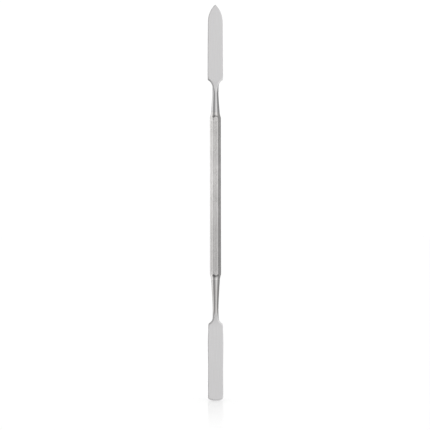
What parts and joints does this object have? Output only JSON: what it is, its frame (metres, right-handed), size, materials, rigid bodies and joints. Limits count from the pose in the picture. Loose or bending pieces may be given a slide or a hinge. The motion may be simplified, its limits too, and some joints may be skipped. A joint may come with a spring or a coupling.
{
  "type": "cuticle pusher",
  "caption": "Slim double-ended steel cuticle pusher with a pointed flat blade, a square-ended flat blade, round necks and a textured octagonal handle.",
  "frame": {"origin": "on the tool's axis at the middle of the octagonal handle, where the fingers or a holder grip it", "axes": "+Z along the tool towards the pointed blade, +X across the blades, -Y out of the blades' front face"},
  "size_m": [0.0068, 0.005, 0.1749],
  "materials": {
    "handle_steel": "finely cross-cut, matte",
    "blade_steel": "satin, fine lengthwise polish"
  },
  "bodies": {
    "root": {"handle": "handle_steel", "pointed_blade": "blade_steel", "square_blade": "blade_steel"}
  },
  "joints": []
}
